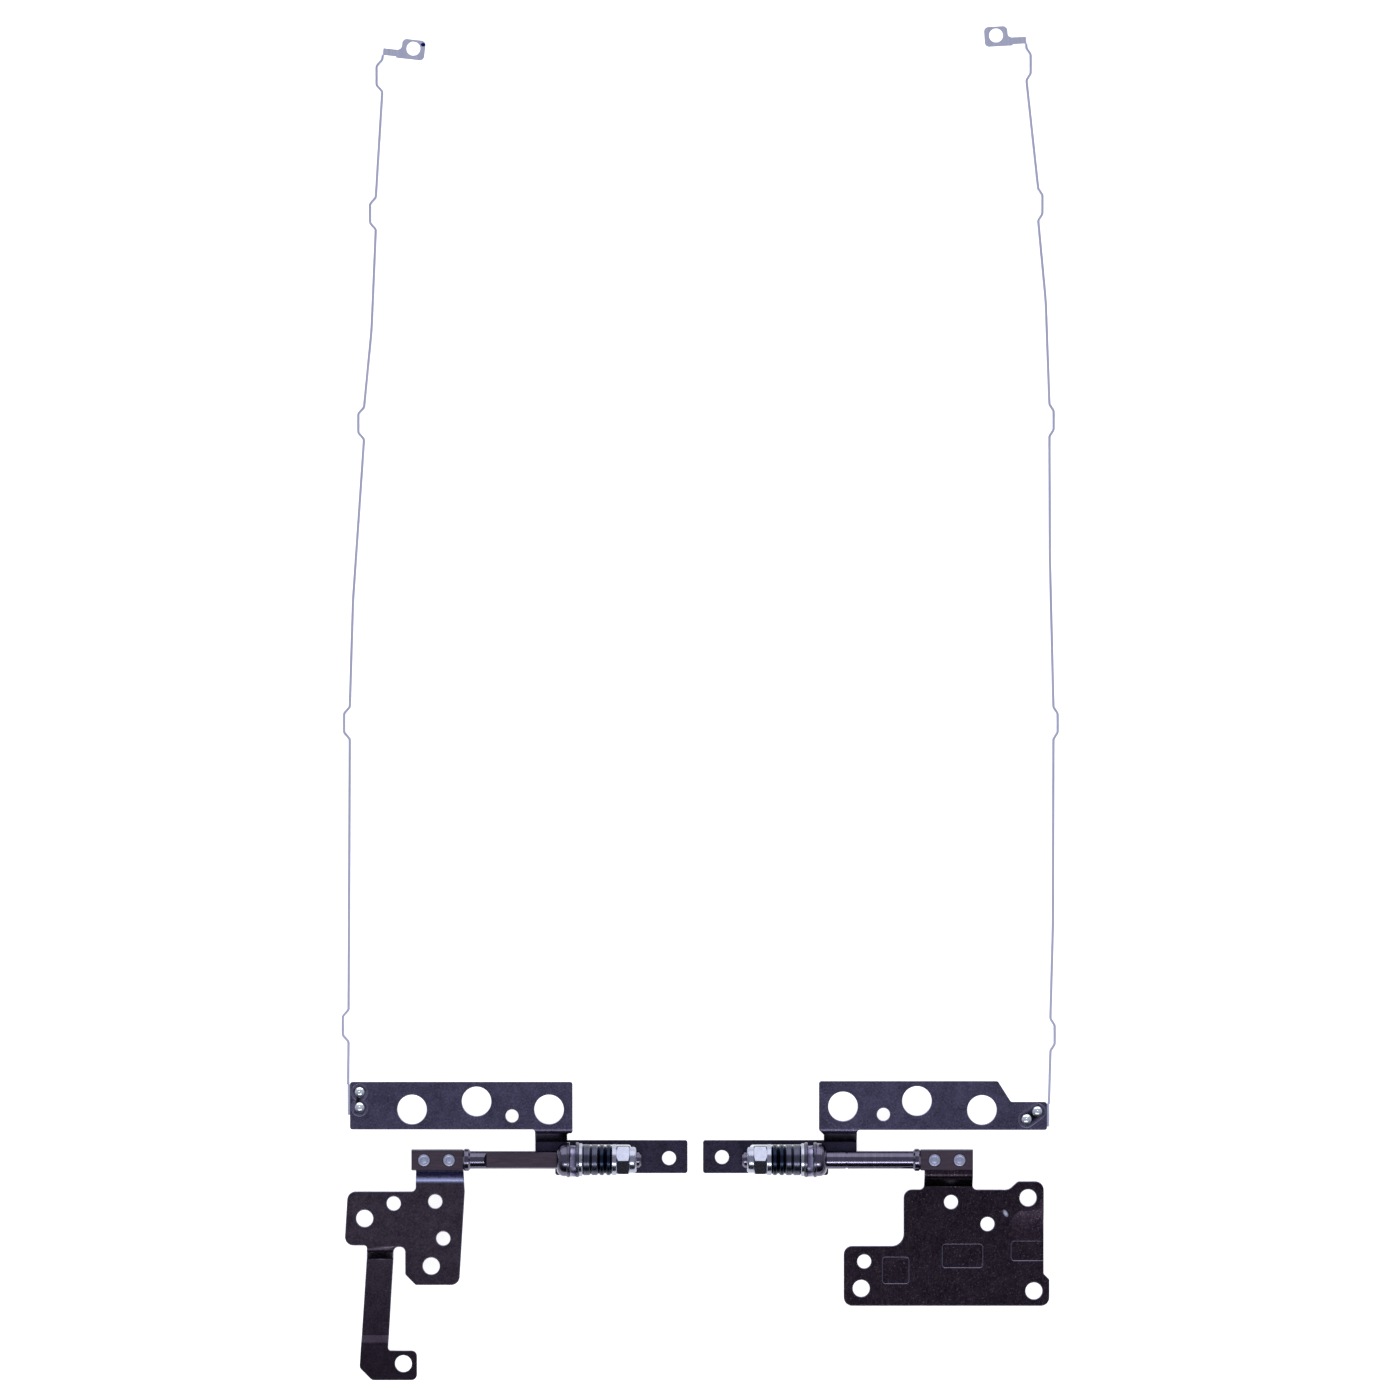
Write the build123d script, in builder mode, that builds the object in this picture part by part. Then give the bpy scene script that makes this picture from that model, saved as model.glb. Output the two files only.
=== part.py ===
from build123d import *
import os

# Pair of laptop screen hinges, lying flat and fully open on a table.
# X runs along the two shafts, +Y up the screen, +Z off the table.
# Each hinge is laid out from its flange seat, the outboard end of its washer stack on the shaft axis.
# "out" is away from the middle of the pair, and "rise" is up the screen from the shaft axis.

# Space between the screw tabs of the two hinges, and how far its middle is to the left of the pair's middle
hinge_gap = 3.1
hinge_gap_offset = 1.05

# Sheet metal and fits
sheet = 1.2
bend_r = 1.0
corner_r = 0.5
inner_corner_r = 0.6
running_gap = 0.05
stack_gap = 0.4

# Turned shaft, from its threaded inner end to its flattened tail
thread_d = 3.0
thread_proud = 0.9
thread_chamfer = 0.4
shaft_d = 3.6
key_across = 3.1
flange_d = 6.6
flange_rim = 0.5
dome_len = 2.0
dome_foot_d = 4.2
shank_len = 17.3
collar_d = 4.5
collar_len = 1.45
collar_round = 0.35
tail_end_margin = 2.5
tail_d = 4.3
tail_thick = 2.0
milled_flat_height = 1.07
milled_flat_len = 14.0
milled_run_out = 0.9
ring_groove_from_dome = 4.2
ring_groove_width = 0.4
ring_groove_depth = 0.12

# Washers, discs and springs on the keyed neck
washer_chamfer = 0.1
friction_washer_d = 7.0
friction_washer_t = 0.6
bright_washer_d = 6.6
bright_washer_t = 0.7
disc_d = 6.2
disc_chamfer = 0.3
wide_disc_t = 1.7
narrow_disc_t = 1.5
spring_d = 6.2
spring_len = 1.35
spring_edge = 0.42
thrust_washer_d = 6.2
thrust_washer_t = 0.95

# Lock nut with its nylon ring
nut_across = 5.5
nut_len = 4.0
nut_hex_len = 2.3
nut_corner_chamfer = 0.35
nut_collar_d = 5.2
nut_collar_round = 0.6
nut_mouth_d = 3.8
nut_lip = 0.35
insert_d = 4.4
insert_t = 1.0

# Rivets through the shaft tail and the base tongue
shaft_rivet_d = 2.5
shaft_rivet_first = 2.8
shaft_rivet_pitch = 5.0
shaft_rivet_head_d = 3.4
shaft_rivet_head_t = 0.5

# Display brackets: strip, lanced ear and joggle are common to both sides
strip_low = -2.9
strip_high = 3.7
ear_low = -3.3
ear_high = 2.8
ear_top = 3.0
ear_round = 2.2
ear_bend_r = 0.8
ear_root_out = 2.4
web_low = -1.4
tab_hole_d = 2.8
boss_hole_d = 5.9
small_hole_d = 2.6
joggle_low = 3.8
joggle_high = 5.7
plate_lift = 2.6
notch_r = 0.4
recess_depth = 0.3

# Left display bracket
left_plate_in = -1.1
left_plate_out = 43.4
left_plate_low = 6.0
left_plate_high = 15.5
left_arm_in = 0.0
left_arm_out = 6.4
left_notch_high = 5.2
left_strip_end = -24.1
left_window_end = -12.8
left_tab_hole = (-20.4, 0.1)
left_boss_holes = [(3.6, 10.0), (18.1, 11.6), (31.0, 10.0)]
left_small_hole = (11.0, 8.7)
left_rail_rivets = [(41.5, 10.35), (41.5, 13.45)]
left_recess_d = 3.3

# Right display bracket, with a slanted step down to its rivet shelf
right_plate_in = 0.5
right_plate_out = 46.1
right_plate_low = 5.9
right_plate_high = 15.65
right_shelf_high = 11.5
right_step_top = 36.3
right_step_foot = 38.9
right_arm_in = 1.5
right_arm_out = 8.1
right_notch_high = 4.9
right_strip_end = -22.7
right_window_end = -13.3
right_tab_hole = (-18.9, 0.3)
right_boss_holes = [(5.3, 10.6), (20.1, 11.7), (33.1, 9.9)]
right_small_hole = (13.4, 9.0)
right_rail_rivets = [(42.0, 8.0), (44.2, 9.6)]
right_recess_w = 3.2

# Screen rails: thin strip on edge, riveted under the plate, with outward jogs and an inward top tab
rail_t = 0.5
rail_bend_r = 0.5
rail_gap = 0.2
jog_flat = 3.8
jog_ramp = 1.3
jog_bend_r = 0.8
bow_r = 60.0
rail_rivet_d = 1.4
rail_rivet_head_d = 2.1
rail_rivet_head_t = 0.4
flange_margin = 1.5
rail_tab_neck_w = 1.4
rail_tab_neck_len = 3.6
rail_tab_len = 4.7
rail_tab_low = -0.25
rail_tab_high = 3.75
rail_tab_round = 0.9
rail_tab_hole_d = 2.75
rail_tab_hole_rise = 1.95

# Rail lines, as (rise, lean inwards from the root) at the middle of each jog and at each gentle bow
left_jog_depth = 1.15
left_rail_jogs = [(26.7, 0.1), (87.3, 0.35), (147.3, 3.2), (189.3, 5.55), (216.9, 6.85)]
left_rail_bows = [(112.0, 1.0), (166.0, 4.7)]
left_rail_end = (221.0, 6.95)
right_jog_depth = 0.85
right_rail_jogs = [(24.9, -0.3), (87.3, -0.9), (147.9, -0.1), (191.1, 2.15), (219.2, 4.5)]
right_rail_bows = [(47.0, -0.8), (120.0, -0.2), (172.0, 0.65)]
right_rail_end = (223.3, 4.55)

# Base brackets: tongue, holes and bends, with out measured from the inner end of the shaft tail
tongue_high = 2.0
tongue_fillet = 0.9
base_round = 1.7
screw_hole_d = 3.4
pin_hole_d = 2.8

# Left base bracket: plate above the tongue, a leg that steps down, and a foot that steps up again
left_tongue_in = 0.25
left_tongue_margin = 1.65
left_bend_high = -2.6
left_bend_low = -4.6
left_base_lift = 1.3
left_base_top = -6.3
left_base_in = -0.35
left_base_out = 23.05
left_base_lean = 0.06
left_wing_low = -17.1
left_lobe_low = -25.0
left_lobe_out = 11.55
left_lobe_cut = 2.1
left_slot_high = -17.4
left_slot_round = 1.0
left_leg_in = 13.85
left_leg_out = 19.15
left_leg_high = -17.9
left_leg_low = -19.6
left_leg_drop = 2.0
left_foot_bend_high = -35.3
left_foot_bend_low = -36.9
left_foot_lift = 1.0
left_foot_high = -38.2
left_foot_low = -44.1
left_foot_in = 9.25
left_foot_cut = 2.5
left_foot_round = 1.1
left_screw_holes = [(19.65, -11.7), (6.35, -21.2), (11.95, -40.8)]
left_pin_holes = [(13.85, -8.7), (5.55, -8.3), (3.95, -15.7)]

# Right base bracket: wide plate that drops to the table, with a raised corner pad and three coined panels
right_tongue_in = 0.85
right_tongue_margin = 2.75
right_bend_high = -3.3
right_bend_low = -5.2
right_base_top = -6.2
right_base_in = -3.25
right_base_out = 24.8
right_base_low = -29.5
right_wing_in = -15.25
right_wing_high = -17.5
right_wing_fillet = 2.4
right_corner_out = 25.95
right_corner_high = -24.2
right_lobe_high = -4.5
right_lobe_in = 19.6
right_lobe_slope = 1.85
right_screw_holes = [(-11.75, -26.0), (22.85, -26.5), (21.65, -7.8)]
right_pin_holes = [(6.25, -8.7), (13.55, -13.1), (-11.15, -20.6)]
pad_lift = 0.8
pad_in = 18.4
pad_low = -10.4
pad_slope = 2.0
pad_round = 1.6
panel_depth = 0.2
panel_round = 0.6
panels = [(-4.85, -22.4, 5.2, 5.2), (8.55, -19.5, 8.0, 4.6), (22.35, -18.5, 8.0, 3.8)]

# Levels and places that follow from the sizes above
left = -1
right = 1
left_seat = hinge_gap / 2 + hinge_gap_offset - left_strip_end
right_seat = hinge_gap / 2 - hinge_gap_offset - right_strip_end
hinges = [("left", left, left_seat), ("right", right, right_seat)]
axis_z = sheet + friction_washer_d / 2 + stack_gap
axis_y = -(right_rail_end[0] + rail_tab_high + left_foot_low) / 2
tail_start = dome_len + shank_len + collar_len
last_rivet = shaft_rivet_first + shaft_rivet_pitch
tail_len = last_rivet + tail_end_margin
left_tongue_out = last_rivet + left_tongue_margin
right_tongue_out = last_rivet + right_tongue_margin
tail_top = axis_z + tail_thick / 2
tongue_low = axis_z - tail_thick / 2 - sheet
ear_mid = -friction_washer_t - sheet / 2
plate_top = plate_lift + sheet
left_base_level = tongue_low + left_base_lift
left_leg_level = left_base_level - left_leg_drop
left_foot_level = left_leg_level + left_foot_lift
rail_high = plate_lift
shaft_axis = Axis((0, axis_y, axis_z), (1, 0, 0))


def plan(side, start, height=0.0):
    """Plan view at a height, with its origin over the shaft axis."""
    return Plane((side * start, axis_y, height))


def across(side, seat, depth):
    """Plane square to the shaft, facing the middle of the pair, a depth in from the flange seat."""
    return Plane((side * (seat - depth), axis_y, axis_z), x_dir=(0, 1, 0), z_dir=(-side, 0, 0))


def lengthways(side, start):
    """Half section through the shaft: local x is out, local y is the radius."""
    return Plane((side * start, axis_y, axis_z), x_dir=(side, 0, 0), z_dir=(0, -side, 0))


def upright(side, start, rise):
    """Upright plane along the shaft that faces up the screen: local x is towards -X, local y is the height."""
    return Plane((side * start, axis_y + rise, 0), x_dir=(-1, 0, 0), z_dir=(0, 1, 0))


def end_on(x):
    """Upright plane square to the shaft: local x is the rise, local y is the height."""
    return Plane((x, axis_y, 0), x_dir=(0, 1, 0), z_dir=(1, 0, 0))


def save(piece, name):
    piece.part.label = name
    export_step(piece.part, f"parts/{name}.step")


def spots(side, places):
    """Plan positions given as (out, rise)."""
    return [(side * out, rise) for out, rise in places]


def outline(side, corners):
    """Closed sheet outline from corners given as (out, rise, corner radius)."""
    with BuildSketch() as shape:
        with BuildLine():
            FilletPolyline(
                *[(side * out, rise) for out, rise, _ in corners],
                radius=[radius for _, _, radius in corners],
                close=True,
            )
        make_face()
    return shape.sketch


def folded(points, thickness, radius):
    """Section of a folded sheet, from the corners of its middle line."""
    with BuildSketch() as shape:
        with BuildLine():
            FilletPolyline(*points, radius=radius)
        trace(line_width=thickness)
    return shape.sketch


def double_d(diameter, width):
    """Round section with two parallel flats."""
    with BuildSketch() as shape:
        Circle(diameter / 2)
        Rectangle(diameter, width, mode=Mode.INTERSECT)
    return shape.sketch


def flat_washer(side, seat, depth, diameter, thickness, edge):
    """Disc keyed to the shaft, from a depth inwards."""
    with BuildPart() as washer:
        with BuildSketch(across(side, seat, depth)):
            Circle(diameter / 2)
            add(double_d(shaft_d + 2 * running_gap, key_across + 2 * running_gap), mode=Mode.SUBTRACT)
        extrude(amount=thickness)
        chamfer(washer.edges().filter_by(GeomType.CIRCLE).group_by(SortBy.RADIUS)[-1], edge)
    return washer


def lock_nut(side, seat, depth):
    """Hexagon nut, one corner upwards, with a rolled collar that holds a nylon ring."""
    corner = nut_across / 3**0.5
    with BuildPart() as nut:
        with BuildSketch(across(side, seat, depth)):
            RegularPolygon(nut_across / 2, 6, major_radius=False, rotation=90)
        extrude(amount=nut_len)
        with BuildSketch(lengthways(side, seat - depth)):
            with BuildLine():
                FilletPolyline(
                    (0, 0),
                    (0, corner - nut_corner_chamfer),
                    (-nut_corner_chamfer, corner),
                    (-nut_hex_len, corner),
                    (-nut_hex_len - nut_corner_chamfer, nut_collar_d / 2),
                    (-nut_len, nut_collar_d / 2),
                    (-nut_len, 0),
                    radius=[0, 0, 0, 0, 0, nut_collar_round, 0],
                    close=True,
                )
            make_face()
        revolve(axis=shaft_axis, mode=Mode.INTERSECT)
        with BuildSketch(across(side, seat, depth)):
            Circle(thread_d / 2 + running_gap)
        extrude(amount=nut_len, mode=Mode.SUBTRACT)
        with BuildSketch(across(side, seat, depth + nut_len - nut_lip - insert_t)):
            Circle(insert_d / 2)
        extrude(amount=insert_t, mode=Mode.SUBTRACT)
        with BuildSketch(across(side, seat, depth + nut_len - nut_lip)):
            Circle(nut_mouth_d / 2)
        extrude(amount=nut_lip, mode=Mode.SUBTRACT)
    return nut


def nut_insert(side, seat, depth):
    """Nylon ring that fills the nut's groove and grips the thread."""
    with BuildPart() as insert:
        with BuildSketch(across(side, seat, depth + nut_len - nut_lip - insert_t)):
            Circle(insert_d / 2 - running_gap)
            Circle(thread_d / 2 + running_gap, mode=Mode.SUBTRACT)
        extrude(amount=insert_t)
    return insert


def rivet_spots(side):
    """The two rivets of a shaft tail, from the tail's inner end."""
    return spots(side, [(shaft_rivet_first, 0), (last_rivet, 0)])


def turned_shaft(side, seat, neck_len, end_depth):
    """Shaft in one piece: thread, neck keyed under the stack, flange dome, shank, collar and tail."""
    collar_start = tail_start - collar_len
    with BuildPart() as shaft:
        with BuildSketch(lengthways(side, seat)):
            with BuildLine():
                inner = Polyline(
                    (tail_start, 0),
                    (-end_depth, 0),
                    (-end_depth, thread_d / 2 - thread_chamfer),
                    (thread_chamfer - end_depth, thread_d / 2),
                    (-neck_len, thread_d / 2),
                    (-neck_len, shaft_d / 2),
                    (0, shaft_d / 2),
                    (0, flange_d / 2),
                    (flange_rim, flange_d / 2),
                )
                TangentArc(inner @ 1, (dome_len, dome_foot_d / 2), tangent=(1, 0))
                Polyline(
                    (dome_len, dome_foot_d / 2),
                    (dome_len, shaft_d / 2),
                    (collar_start, shaft_d / 2),
                    (collar_start, collar_d / 2 - collar_round),
                    (collar_start + collar_round, collar_d / 2),
                    (tail_start - collar_round, collar_d / 2),
                    (tail_start, collar_d / 2 - collar_round),
                    (tail_start, 0),
                )
            make_face()
        revolve(axis=shaft_axis)
        with BuildSketch(across(side, seat, 0)):
            Circle(flange_d / 2)
            add(double_d(shaft_d, key_across), mode=Mode.SUBTRACT)
        extrude(amount=neck_len, mode=Mode.SUBTRACT)
        with BuildSketch(across(side, seat, -tail_start - tail_len)):
            add(double_d(tail_d, tail_thick))
        extrude(amount=tail_len)
        with BuildSketch(plan(side, seat + tail_start, tail_top)):
            with Locations(*rivet_spots(side)):
                Circle(shaft_rivet_d / 2 + running_gap)
        extrude(amount=-tail_thick, mode=Mode.SUBTRACT)
    return shaft.part


def shaft_rivets(side, seat):
    """Two rivets set flush in the tail, with their heads under the base tongue."""
    with BuildPart() as rivets:
        with BuildSketch(plan(side, seat + tail_start, tongue_low)):
            with Locations(*rivet_spots(side)):
                Circle(shaft_rivet_d / 2)
        extrude(amount=tail_top - tongue_low)
        with BuildSketch(plan(side, seat + tail_start, tongue_low)):
            with Locations(*rivet_spots(side)):
                Circle(shaft_rivet_head_d / 2)
        extrude(amount=-shaft_rivet_head_t)
        fillet(rivets.edges().group_by(Axis.Z)[0], shaft_rivet_head_t / 2)
    return rivets


def display_sheet(side, seat, plate_corners, arm_in, arm_out, notch_high, strip_end, window_end):
    """Display bracket before its holes: plate and arm joggled up from a flat strip with a lanced ear."""
    plate_low = plate_corners[-1][1]
    plate_far = max(out for out, _, _ in plate_corners)
    plate_high = max(rise for _, rise, _ in plate_corners)
    plate_mid = plate_lift + sheet / 2
    web_in = ear_mid + ear_bend_r
    arm_corners = [
        (arm_out, plate_low, inner_corner_r),
        (arm_out, web_low, corner_r),
        (arm_in, web_low, 0),
        (arm_in, notch_high, notch_r),
    ]
    strip_corners = [
        (strip_end, strip_low, corner_r),
        (strip_end, strip_high, corner_r),
        (arm_out, strip_high, 0),
        (arm_out, web_low, corner_r),
        (web_in, web_low, 0),
        (web_in, ear_high, 0),
        (window_end, ear_high, inner_corner_r),
        (window_end, strip_low, corner_r),
    ]
    joggle = [
        (web_low, sheet / 2),
        (joggle_low, sheet / 2),
        (joggle_high, plate_mid),
        (plate_high + sheet, plate_mid),
    ]
    ear_fold = [
        (-side * ear_root_out, sheet / 2),
        (-side * ear_mid, sheet / 2),
        (-side * ear_mid, axis_z + ear_top),
    ]
    with BuildPart() as bracket:
        with BuildSketch(end_on(0)):
            add(folded(joggle, sheet, bend_r))
        extrude(amount=side * (seat + plate_far + sheet))
        with BuildSketch(plan(side, seat)):
            add(outline(side, plate_corners + arm_corners))
        extrude(amount=plate_top, mode=Mode.INTERSECT)
        with BuildSketch(plan(side, seat)):
            add(outline(side, strip_corners))
        extrude(amount=sheet)
        with BuildSketch(upright(side, seat, ear_low)):
            add(folded(ear_fold, sheet, ear_bend_r))
        extrude(amount=ear_high - ear_low)
        root_corner = (side * (seat + ear_root_out), axis_y + ear_low, sheet / 2)
        fillet(bracket.edges().filter_by(Axis.Z).sort_by_distance(root_corner)[0], corner_r)
        fillet(bracket.edges().filter_by(Axis.X).group_by(Axis.Z)[-1], ear_round)
        with BuildSketch(across(side, seat, friction_washer_t)):
            Circle(shaft_d / 2 + running_gap)
        extrude(amount=sheet, mode=Mode.SUBTRACT)
    return bracket.part


def display_holes(side, seat, tab_hole, boss_holes, small_hole, rivets):
    """Plan of every hole through a display bracket."""
    with BuildSketch(plan(side, seat)) as holes:
        with Locations(*spots(side, [tab_hole])):
            Circle(tab_hole_d / 2)
        with Locations(*spots(side, boss_holes)):
            Circle(boss_hole_d / 2)
        with Locations(*spots(side, [small_hole])):
            Circle(small_hole_d / 2)
        with Locations(*spots(side, rivets)):
            Circle(rail_rivet_d / 2 + running_gap)
    return holes.sketch


def rail_rivets(side, seat, rivets):
    """Two rivets sunk in the plate's recess and closed under the rail's root flange."""
    seat_z = plate_top - recess_depth
    flange_low = rail_high - rail_t
    with BuildPart() as pair:
        with BuildSketch(plan(side, seat, flange_low)):
            with Locations(*spots(side, rivets)):
                Circle(rail_rivet_d / 2)
        extrude(amount=seat_z - flange_low)
        for level, height in [(seat_z, rail_rivet_head_t), (flange_low, -rail_rivet_head_t)]:
            with BuildSketch(plan(side, seat, level)):
                with Locations(*spots(side, rivets)):
                    Circle(rail_rivet_head_d / 2)
            extrude(amount=height)
        heads = pair.edges().filter_by(GeomType.CIRCLE).group_by(Axis.Z)
        fillet(heads[0] + heads[-1], rail_rivet_head_t / 2)
    return pair


def rail_line(side, root, start, jogs, bows, end, depth):
    """Middle line of a rail: straight runs between its jogs and bows, with a bend radius at each corner."""
    half = jog_flat / 2
    points = [(side * root, start)]
    radii = []
    for rise, lean in sorted(jogs + bows):
        if (rise, lean) in bows:
            points.append((side * (root - lean), rise))
            radii.append(bow_r)
            continue
        for along, out in [(-half - jog_ramp, 0), (-half, depth), (half, depth), (half + jog_ramp, 0)]:
            points.append((side * (root - lean + out), rise + along))
            radii.append(jog_bend_r)
    points.append((side * (root - end[1]), end[0]))
    return points, radii


def screen_rail(side, seat, plate_out, rivets, jogs, bows, end, depth):
    """Rail bent from one strip: root flange under the plate, jogged run on edge, and a folded top tab."""
    root = plate_out + rail_gap + rail_t / 2
    flange_in = min(out for out, _ in rivets) - flange_margin
    flange_low = min(rise for _, rise in rivets) - flange_margin
    flange_high = max(rise for _, rise in rivets) + flange_margin
    flange_mid = rail_high - rail_t / 2
    points, radii = rail_line(side, root, flange_high, jogs, bows, end, depth)
    run = (Vector(*points[-1]) - Vector(*points[-2])).normalized()
    tip = Vector(side * seat + points[-1][0], axis_y + points[-1][1], 0)
    neck_plane = Plane(tip, x_dir=(-run.Y, run.X, 0), z_dir=(run.X, run.Y, 0))
    tab_plane = Plane(tip + Vector(0, 0, rail_high), x_dir=(run.Y, -run.X, 0))
    tab_step = rail_tab_neck_len - rail_tab_round
    tab_end = rail_tab_neck_len + rail_tab_len
    tab_corners = [
        (rail_tab_neck_len / 2, 0, 0),
        (tab_step, 0, 0),
        (tab_step, rail_tab_low, 0),
        (tab_end, rail_tab_low, rail_tab_round),
        (tab_end, rail_tab_high, rail_tab_round),
        (rail_tab_neck_len, rail_tab_high, rail_tab_round),
        (rail_tab_neck_len, rail_tab_neck_w, rail_tab_round),
        (rail_tab_neck_len / 2, rail_tab_neck_w, 0),
    ]
    root_fold = [(-side * root, 0), (-side * root, flange_mid), (-side * flange_in, flange_mid)]
    neck_fold = [(0, 0), (0, flange_mid), (side * tab_step, flange_mid)]
    with BuildPart() as rail:
        with BuildSketch(plan(side, seat)):
            with BuildLine():
                FilletPolyline(*points, radius=radii)
            trace(line_width=rail_t)
        extrude(amount=rail_high)
        with BuildSketch(upright(side, seat, flange_low)):
            add(folded(root_fold, rail_t, rail_bend_r))
        extrude(amount=flange_high - flange_low)
        with BuildSketch(neck_plane):
            add(folded(neck_fold, rail_t, rail_bend_r))
        extrude(amount=rail_tab_neck_w)
        with BuildSketch(tab_plane):
            add(outline(-side, tab_corners))
            with Locations((-side * (rail_tab_neck_len + rail_tab_len / 2), rail_tab_hole_rise)):
                Circle(rail_tab_hole_d / 2, mode=Mode.SUBTRACT)
        extrude(amount=-rail_t)
        with BuildSketch(plan(side, seat)):
            with Locations(*spots(side, rivets)):
                Circle(rail_rivet_d / 2 + running_gap)
        extrude(amount=rail_high, mode=Mode.SUBTRACT)
    return rail


def base_holes(side, seat, screw_holes, pin_holes):
    """Plan of every hole through a base bracket."""
    with BuildSketch(plan(side, seat + tail_start)) as holes:
        with Locations(*spots(side, screw_holes)):
            Circle(screw_hole_d / 2)
        with Locations(*spots(side, pin_holes)):
            Circle(pin_hole_d / 2)
        with Locations(*rivet_spots(side)):
            Circle(shaft_rivet_d / 2 + running_gap)
    return holes.sketch


os.makedirs("parts", exist_ok=True)

# Washer stacks, in order from the shaft flange inwards; the bracket's ear sits between the friction washers
for name, side, seat in hinges:
    depth = 0
    save(
        flat_washer(side, seat, depth, friction_washer_d, friction_washer_t, washer_chamfer),
        f"{name}_outer_friction_washer",
    )
    depth += friction_washer_t + sheet
    for washer, diameter, thickness, edge in [
        ("inner_friction_washer", friction_washer_d, friction_washer_t, washer_chamfer),
        ("bright_washer", bright_washer_d, bright_washer_t, washer_chamfer),
        ("wide_friction_disc", disc_d, wide_disc_t, disc_chamfer),
        ("narrow_friction_disc", disc_d, narrow_disc_t, disc_chamfer),
        ("outer_spring_washer", spring_d, spring_len, spring_edge),
        ("inner_spring_washer", spring_d, spring_len, spring_edge),
        ("thrust_washer", thrust_washer_d, thrust_washer_t, washer_chamfer),
    ]:
        save(flat_washer(side, seat, depth, diameter, thickness, edge), f"{name}_{washer}")
        depth += thickness
    save(lock_nut(side, seat, depth), f"{name}_lock_nut")
    save(nut_insert(side, seat, depth), f"{name}_nut_insert")
    save(shaft_rivets(side, seat), f"{name}_shaft_rivets")
neck_len = depth
shaft_end = neck_len + nut_len + thread_proud

# Left shaft, with a flat milled along the top of its shank
with BuildPart() as left_shaft:
    add(turned_shaft(left, left_seat, neck_len, shaft_end))
    with BuildSketch(lengthways(left, left_seat)):
        with BuildLine():
            Polyline(
                (dome_len, milled_flat_height),
                (dome_len + milled_flat_len, milled_flat_height),
                (dome_len + milled_flat_len + milled_run_out, collar_d / 2),
                (dome_len, collar_d / 2),
                close=True,
            )
        make_face()
    extrude(amount=shaft_d, both=True, mode=Mode.SUBTRACT)
save(left_shaft, "left_shaft")

# Right shaft, round all along its shank, with one fine turned ring
with BuildPart() as right_shaft:
    add(turned_shaft(right, right_seat, neck_len, shaft_end))
    with BuildSketch(across(right, right_seat, -dome_len - ring_groove_from_dome)):
        Circle(shaft_d / 2)
        Circle(shaft_d / 2 - ring_groove_depth, mode=Mode.SUBTRACT)
    extrude(amount=ring_groove_width, mode=Mode.SUBTRACT)
save(right_shaft, "right_shaft")

# Left display bracket: plain rectangular plate, with a round recess at each rail rivet
left_plate = [
    (left_plate_in, left_notch_high, corner_r),
    (left_plate_in, left_plate_high, corner_r),
    (left_plate_out, left_plate_high, corner_r),
    (left_plate_out, left_plate_low, corner_r),
]
with BuildPart() as left_display:
    add(
        display_sheet(
            left, left_seat, left_plate, left_arm_in, left_arm_out, left_notch_high,
            left_strip_end, left_window_end,
        )
    )
    add(display_holes(left, left_seat, left_tab_hole, left_boss_holes, left_small_hole, left_rail_rivets))
    extrude(amount=plate_top, mode=Mode.SUBTRACT)
    with BuildSketch(plan(left, left_seat, plate_top)):
        with Locations(*spots(left, left_rail_rivets)):
            Circle(left_recess_d / 2)
    extrude(amount=-recess_depth, mode=Mode.SUBTRACT)
save(left_display, "left_display_bracket")

# Right display bracket: plate with a low rivet shelf, and one slanted recess round both rail rivets
right_plate = [
    (right_plate_in, right_plate_low, corner_r),
    (right_plate_in, right_plate_high, corner_r),
    (right_step_top, right_plate_high, corner_r),
    (right_step_foot, right_shelf_high, inner_corner_r),
    (right_plate_out, right_shelf_high, corner_r),
    (right_plate_out, right_plate_low, corner_r),
]
near_rivet, far_rivet = [Vector(*spot) for spot in spots(right, right_rail_rivets)]
with BuildPart() as right_display:
    add(
        display_sheet(
            right, right_seat, right_plate, right_arm_in, right_arm_out, right_notch_high,
            right_strip_end, right_window_end,
        )
    )
    add(display_holes(right, right_seat, right_tab_hole, right_boss_holes, right_small_hole, right_rail_rivets))
    extrude(amount=plate_top, mode=Mode.SUBTRACT)
    with BuildSketch(plan(right, right_seat, plate_top)):
        SlotCenterPoint((near_rivet + far_rivet) / 2, far_rivet, right_recess_w)
    extrude(amount=-recess_depth, mode=Mode.SUBTRACT)
save(right_display, "right_display_bracket")

# Screen rails and the rivets that hold them
save(
    screen_rail(
        left, left_seat, left_plate_out, left_rail_rivets,
        left_rail_jogs, left_rail_bows, left_rail_end, left_jog_depth,
    ),
    "left_screen_rail",
)
save(
    screen_rail(
        right, right_seat, right_plate_out, right_rail_rivets,
        right_rail_jogs, right_rail_bows, right_rail_end, right_jog_depth,
    ),
    "right_screen_rail",
)
save(rail_rivets(left, left_seat, left_rail_rivets), "left_rail_rivets")
save(rail_rivets(right, right_seat, right_rail_rivets), "right_rail_rivets")

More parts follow.
